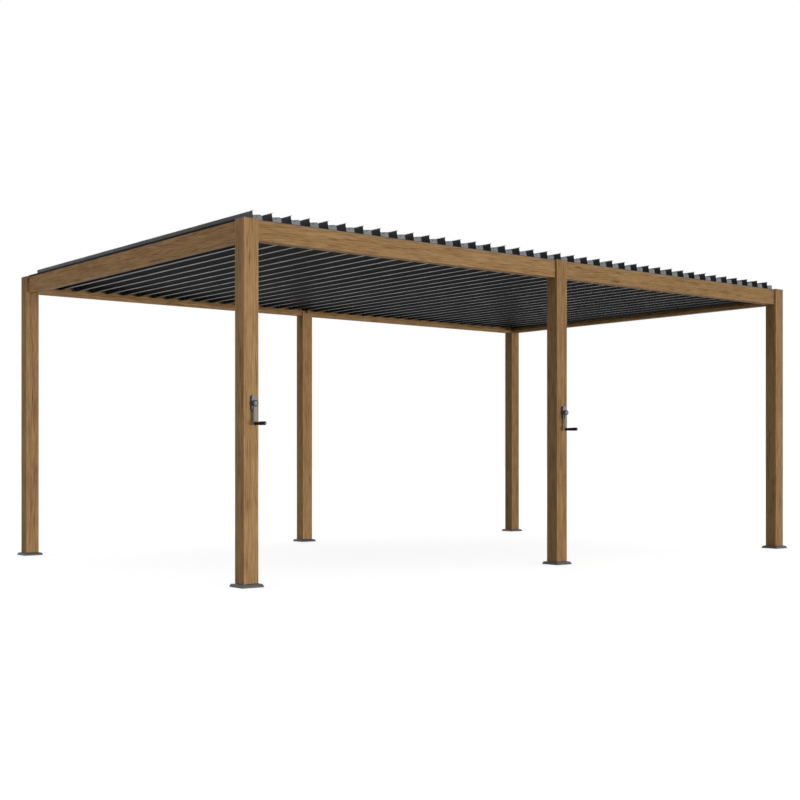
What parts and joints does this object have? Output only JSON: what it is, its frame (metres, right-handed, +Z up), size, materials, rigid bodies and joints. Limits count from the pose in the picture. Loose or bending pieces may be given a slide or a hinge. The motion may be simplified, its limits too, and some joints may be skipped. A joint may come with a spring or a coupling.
{
  "type": "louvered pergola",
  "caption": "Free-standing louvered pergola on posts, with wood-look beams and a roof of tilting louvres in two banks, each turned by a crank on a front post.",
  "frame": {"origin": "middle of the front left post's foot, on the ground", "axes": "+X to the right along the front, +Y to the back, +Z up"},
  "size_m": [5.852, 3.7793, 2.4491],
  "materials": {
    "wood_look_frame": "satin",
    "anthracite_trim": "satin",
    "anthracite_louvre": "satin",
    "bearing_plastic": "matte",
    "black_grip": "matte",
    "grey_drive": "satin"
  },
  "bodies": {
    "frame": {"post_front_left": "wood_look_frame", "post_front_middle": "wood_look_frame", "post_front_right": "wood_look_frame", "post_back_left": "wood_look_frame", "post_back_middle": "wood_look_frame", "post_back_right": "wood_look_frame", "post_caps": "anthracite_trim", "base_plates": "anthracite_trim", "foot_covers": "anthracite_trim", "beam_front_left": "wood_look_frame", "beam_front_right": "wood_look_frame", "beam_back_left": "wood_look_frame", "beam_back_right": "wood_look_frame", "beam_left": "wood_look_frame", "beam_right": "wood_look_frame", "bearing_rails": "bearing_plastic", "crank_housings": "grey_drive", "side_flashing": "anthracite_trim"},
    "crank_left": {"crank_arm_left": "grey_drive"},
    "grip_left": {"crank_grip_left": "black_grip"},
    "crank_right": {"crank_arm_right": "grey_drive"},
    "grip_right": {"crank_grip_right": "black_grip"},
    "louvre_01": {"louvre_01": "anthracite_louvre"},
    "louvre_02": {"louvre_02": "anthracite_louvre"},
    "louvre_03": {"louvre_03": "anthracite_louvre"},
    "louvre_04": {"louvre_04": "anthracite_louvre"},
    "louvre_05": {"louvre_05": "anthracite_louvre"},
    "louvre_06": {"louvre_06": "anthracite_louvre"},
    "louvre_07": {"louvre_07": "anthracite_louvre"},
    "louvre_08": {"louvre_08": "anthracite_louvre"},
    "louvre_09": {"louvre_09": "anthracite_louvre"},
    "louvre_10": {"louvre_10": "anthracite_louvre"},
    "louvre_11": {"louvre_11": "anthracite_louvre"},
    "louvre_12": {"louvre_12": "anthracite_louvre"},
    "louvre_13": {"louvre_13": "anthracite_louvre"},
    "louvre_14": {"louvre_14": "anthracite_louvre"},
    "louvre_15": {"louvre_15": "anthracite_louvre"},
    "louvre_16": {"louvre_16": "anthracite_louvre"},
    "louvre_17": {"louvre_17": "anthracite_louvre"},
    "louvre_18": {"louvre_18": "anthracite_louvre"},
    "louvre_19": {"louvre_19": "anthracite_louvre"},
    "louvre_20": {"louvre_20": "anthracite_louvre"},
    "louvre_21": {"louvre_21": "anthracite_louvre"},
    "louvre_22": {"louvre_22": "anthracite_louvre"},
    "louvre_23": {"louvre_23": "anthracite_louvre"},
    "louvre_24": {"louvre_24": "anthracite_louvre"},
    "louvre_25": {"louvre_25": "anthracite_louvre"},
    "louvre_26": {"louvre_26": "anthracite_louvre"},
    "louvre_27": {"louvre_27": "anthracite_louvre"},
    "louvre_28": {"louvre_28": "anthracite_louvre"},
    "louvre_29": {"louvre_29": "anthracite_louvre"},
    "louvre_30": {"louvre_30": "anthracite_louvre"},
    "louvre_31": {"louvre_31": "anthracite_louvre"},
    "louvre_32": {"louvre_32": "anthracite_louvre"},
    "louvre_33": {"louvre_33": "anthracite_louvre"},
    "louvre_34": {"louvre_34": "anthracite_louvre"},
    "louvre_35": {"louvre_35": "anthracite_louvre"},
    "louvre_36": {"louvre_36": "anthracite_louvre"},
    "louvre_37": {"louvre_37": "anthracite_louvre"},
    "louvre_38": {"louvre_38": "anthracite_louvre"}
  },
  "joints": [
    {"name": "crank_left_turn", "type": "hinge", "parent": "frame", "child": "crank_left", "pos_m": [0.01, -0.075, 1.185], "axis": [0, 1, 0], "range_deg": [-144, 1176]},
    {"name": "grip_left_spin", "type": "hinge", "parent": "crank_left", "child": "grip_left", "pos_m": [0.01, -0.145, 1.055], "axis": [0, 1, 0], "continuous": true},
    {"name": "crank_right_turn", "type": "hinge", "parent": "frame", "child": "crank_right", "pos_m": [2.855, -0.075, 1.185], "axis": [0, 1, 0], "range_deg": [-144, 1176]},
    {"name": "grip_right_spin", "type": "hinge", "parent": "crank_right", "child": "grip_right", "pos_m": [2.855, -0.145, 1.055], "axis": [0, 1, 0], "continuous": true},
    {"name": "louvre_01_tilt", "type": "hinge", "parent": "frame", "child": "louvre_01", "pos_m": [0.089, 1.745, 2.367], "axis": [0, 1, 0], "range_deg": [-12, 98]},
    {"name": "louvre_02_tilt", "type": "hinge", "parent": "frame", "child": "louvre_02", "pos_m": [0.239, 1.745, 2.367], "axis": [0, 1, 0], "range_deg": [-12, 98]},
    {"name": "louvre_03_tilt", "type": "hinge", "parent": "frame", "child": "louvre_03", "pos_m": [0.389, 1.745, 2.367], "axis": [0, 1, 0], "range_deg": [-12, 98]},
    {"name": "louvre_04_tilt", "type": "hinge", "parent": "frame", "child": "louvre_04", "pos_m": [0.539, 1.745, 2.367], "axis": [0, 1, 0], "range_deg": [-12, 98]},
    {"name": "louvre_05_tilt", "type": "hinge", "parent": "frame", "child": "louvre_05", "pos_m": [0.689, 1.745, 2.367], "axis": [0, 1, 0], "range_deg": [-12, 98]},
    {"name": "louvre_06_tilt", "type": "hinge", "parent": "frame", "child": "louvre_06", "pos_m": [0.839, 1.745, 2.367], "axis": [0, 1, 0], "range_deg": [-12, 98]},
    {"name": "louvre_07_tilt", "type": "hinge", "parent": "frame", "child": "louvre_07", "pos_m": [0.989, 1.745, 2.367], "axis": [0, 1, 0], "range_deg": [-12, 98]},
    {"name": "louvre_08_tilt", "type": "hinge", "parent": "frame", "child": "louvre_08", "pos_m": [1.139, 1.745, 2.367], "axis": [0, 1, 0], "range_deg": [-12, 98]},
    {"name": "louvre_09_tilt", "type": "hinge", "parent": "frame", "child": "louvre_09", "pos_m": [1.289, 1.745, 2.367], "axis": [0, 1, 0], "range_deg": [-12, 98]},
    {"name": "louvre_10_tilt", "type": "hinge", "parent": "frame", "child": "louvre_10", "pos_m": [1.439, 1.745, 2.367], "axis": [0, 1, 0], "range_deg": [-12, 98]},
    {"name": "louvre_11_tilt", "type": "hinge", "parent": "frame", "child": "louvre_11", "pos_m": [1.589, 1.745, 2.367], "axis": [0, 1, 0], "range_deg": [-12, 98]},
    {"name": "louvre_12_tilt", "type": "hinge", "parent": "frame", "child": "louvre_12", "pos_m": [1.739, 1.745, 2.367], "axis": [0, 1, 0], "range_deg": [-12, 98]},
    {"name": "louvre_13_tilt", "type": "hinge", "parent": "frame", "child": "louvre_13", "pos_m": [1.889, 1.745, 2.367], "axis": [0, 1, 0], "range_deg": [-12, 98]},
    {"name": "louvre_14_tilt", "type": "hinge", "parent": "frame", "child": "louvre_14", "pos_m": [2.039, 1.745, 2.367], "axis": [0, 1, 0], "range_deg": [-12, 98]},
    {"name": "louvre_15_tilt", "type": "hinge", "parent": "frame", "child": "louvre_15", "pos_m": [2.189, 1.745, 2.367], "axis": [0, 1, 0], "range_deg": [-12, 98]},
    {"name": "louvre_16_tilt", "type": "hinge", "parent": "frame", "child": "louvre_16", "pos_m": [2.339, 1.745, 2.367], "axis": [0, 1, 0], "range_deg": [-12, 98]},
    {"name": "louvre_17_tilt", "type": "hinge", "parent": "frame", "child": "louvre_17", "pos_m": [2.489, 1.745, 2.367], "axis": [0, 1, 0], "range_deg": [-12, 98]},
    {"name": "louvre_18_tilt", "type": "hinge", "parent": "frame", "child": "louvre_18", "pos_m": [2.639, 1.745, 2.367], "axis": [0, 1, 0], "range_deg": [-12, 98]},
    {"name": "louvre_19_tilt", "type": "hinge", "parent": "frame", "child": "louvre_19", "pos_m": [2.789, 1.745, 2.367], "axis": [0, 1, 0], "range_deg": [-12, 98]},
    {"name": "louvre_20_tilt", "type": "hinge", "parent": "frame", "child": "louvre_20", "pos_m": [2.939, 1.745, 2.367], "axis": [0, 1, 0], "range_deg": [-12, 98]},
    {"name": "louvre_21_tilt", "type": "hinge", "parent": "frame", "child": "louvre_21", "pos_m": [3.089, 1.745, 2.367], "axis": [0, 1, 0], "range_deg": [-12, 98]},
    {"name": "louvre_22_tilt", "type": "hinge", "parent": "frame", "child": "louvre_22", "pos_m": [3.239, 1.745, 2.367], "axis": [0, 1, 0], "range_deg": [-12, 98]},
    {"name": "louvre_23_tilt", "type": "hinge", "parent": "frame", "child": "louvre_23", "pos_m": [3.389, 1.745, 2.367], "axis": [0, 1, 0], "range_deg": [-12, 98]},
    {"name": "louvre_24_tilt", "type": "hinge", "parent": "frame", "child": "louvre_24", "pos_m": [3.539, 1.745, 2.367], "axis": [0, 1, 0], "range_deg": [-12, 98]},
    {"name": "louvre_25_tilt", "type": "hinge", "parent": "frame", "child": "louvre_25", "pos_m": [3.689, 1.745, 2.367], "axis": [0, 1, 0], "range_deg": [-12, 98]},
    {"name": "louvre_26_tilt", "type": "hinge", "parent": "frame", "child": "louvre_26", "pos_m": [3.839, 1.745, 2.367], "axis": [0, 1, 0], "range_deg": [-12, 98]},
    {"name": "louvre_27_tilt", "type": "hinge", "parent": "frame", "child": "louvre_27", "pos_m": [3.989, 1.745, 2.367], "axis": [0, 1, 0], "range_deg": [-12, 98]},
    {"name": "louvre_28_tilt", "type": "hinge", "parent": "frame", "child": "louvre_28", "pos_m": [4.139, 1.745, 2.367], "axis": [0, 1, 0], "range_deg": [-12, 98]},
    {"name": "louvre_29_tilt", "type": "hinge", "parent": "frame", "child": "louvre_29", "pos_m": [4.289, 1.745, 2.367], "axis": [0, 1, 0], "range_deg": [-12, 98]},
    {"name": "louvre_30_tilt", "type": "hinge", "parent": "frame", "child": "louvre_30", "pos_m": [4.439, 1.745, 2.367], "axis": [0, 1, 0], "range_deg": [-12, 98]},
    {"name": "louvre_31_tilt", "type": "hinge", "parent": "frame", "child": "louvre_31", "pos_m": [4.589, 1.745, 2.367], "axis": [0, 1, 0], "range_deg": [-12, 98]},
    {"name": "louvre_32_tilt", "type": "hinge", "parent": "frame", "child": "louvre_32", "pos_m": [4.739, 1.745, 2.367], "axis": [0, 1, 0], "range_deg": [-12, 98]},
    {"name": "louvre_33_tilt", "type": "hinge", "parent": "frame", "child": "louvre_33", "pos_m": [4.889, 1.745, 2.367], "axis": [0, 1, 0], "range_deg": [-12, 98]},
    {"name": "louvre_34_tilt", "type": "hinge", "parent": "frame", "child": "louvre_34", "pos_m": [5.039, 1.745, 2.367], "axis": [0, 1, 0], "range_deg": [-12, 98]},
    {"name": "louvre_35_tilt", "type": "hinge", "parent": "frame", "child": "louvre_35", "pos_m": [5.189, 1.745, 2.367], "axis": [0, 1, 0], "range_deg": [-12, 98]},
    {"name": "louvre_36_tilt", "type": "hinge", "parent": "frame", "child": "louvre_36", "pos_m": [5.339, 1.745, 2.367], "axis": [0, 1, 0], "range_deg": [-12, 98]},
    {"name": "louvre_37_tilt", "type": "hinge", "parent": "frame", "child": "louvre_37", "pos_m": [5.489, 1.745, 2.367], "axis": [0, 1, 0], "range_deg": [-12, 98]},
    {"name": "louvre_38_tilt", "type": "hinge", "parent": "frame", "child": "louvre_38", "pos_m": [5.639, 1.745, 2.367], "axis": [0, 1, 0], "range_deg": [-12, 98]}
  ],
  "couplings": [
    {"joint": "louvre_01_tilt", "follows": "crank_left_turn", "ratio": 0.083333},
    {"joint": "louvre_02_tilt", "follows": "crank_left_turn", "ratio": 0.083333},
    {"joint": "louvre_03_tilt", "follows": "crank_left_turn", "ratio": 0.083333},
    {"joint": "louvre_04_tilt", "follows": "crank_left_turn", "ratio": 0.083333},
    {"joint": "louvre_05_tilt", "follows": "crank_left_turn", "ratio": 0.083333},
    {"joint": "louvre_06_tilt", "follows": "crank_left_turn", "ratio": 0.083333},
    {"joint": "louvre_07_tilt", "follows": "crank_left_turn", "ratio": 0.083333},
    {"joint": "louvre_08_tilt", "follows": "crank_left_turn", "ratio": 0.083333},
    {"joint": "louvre_09_tilt", "follows": "crank_left_turn", "ratio": 0.083333},
    {"joint": "louvre_10_tilt", "follows": "crank_left_turn", "ratio": 0.083333},
    {"joint": "louvre_11_tilt", "follows": "crank_left_turn", "ratio": 0.083333},
    {"joint": "louvre_12_tilt", "follows": "crank_left_turn", "ratio": 0.083333},
    {"joint": "louvre_13_tilt", "follows": "crank_left_turn", "ratio": 0.083333},
    {"joint": "louvre_14_tilt", "follows": "crank_left_turn", "ratio": 0.083333},
    {"joint": "louvre_15_tilt", "follows": "crank_left_turn", "ratio": 0.083333},
    {"joint": "louvre_16_tilt", "follows": "crank_left_turn", "ratio": 0.083333},
    {"joint": "louvre_17_tilt", "follows": "crank_left_turn", "ratio": 0.083333},
    {"joint": "louvre_18_tilt", "follows": "crank_left_turn", "ratio": 0.083333},
    {"joint": "louvre_19_tilt", "follows": "crank_left_turn", "ratio": 0.083333},
    {"joint": "louvre_20_tilt", "follows": "crank_right_turn", "ratio": 0.083333},
    {"joint": "louvre_21_tilt", "follows": "crank_right_turn", "ratio": 0.083333},
    {"joint": "louvre_22_tilt", "follows": "crank_right_turn", "ratio": 0.083333},
    {"joint": "louvre_23_tilt", "follows": "crank_right_turn", "ratio": 0.083333},
    {"joint": "louvre_24_tilt", "follows": "crank_right_turn", "ratio": 0.083333},
    {"joint": "louvre_25_tilt", "follows": "crank_right_turn", "ratio": 0.083333},
    {"joint": "louvre_26_tilt", "follows": "crank_right_turn", "ratio": 0.083333},
    {"joint": "louvre_27_tilt", "follows": "crank_right_turn", "ratio": 0.083333},
    {"joint": "louvre_28_tilt", "follows": "crank_right_turn", "ratio": 0.083333},
    {"joint": "louvre_29_tilt", "follows": "crank_right_turn", "ratio": 0.083333},
    {"joint": "louvre_30_tilt", "follows": "crank_right_turn", "ratio": 0.083333},
    {"joint": "louvre_31_tilt", "follows": "crank_right_turn", "ratio": 0.083333},
    {"joint": "louvre_32_tilt", "follows": "crank_right_turn", "ratio": 0.083333},
    {"joint": "louvre_33_tilt", "follows": "crank_right_turn", "ratio": 0.083333},
    {"joint": "louvre_34_tilt", "follows": "crank_right_turn", "ratio": 0.083333},
    {"joint": "louvre_35_tilt", "follows": "crank_right_turn", "ratio": 0.083333},
    {"joint": "louvre_36_tilt", "follows": "crank_right_turn", "ratio": 0.083333},
    {"joint": "louvre_37_tilt", "follows": "crank_right_turn", "ratio": 0.083333},
    {"joint": "louvre_38_tilt", "follows": "crank_right_turn", "ratio": 0.083333}
  ]
}
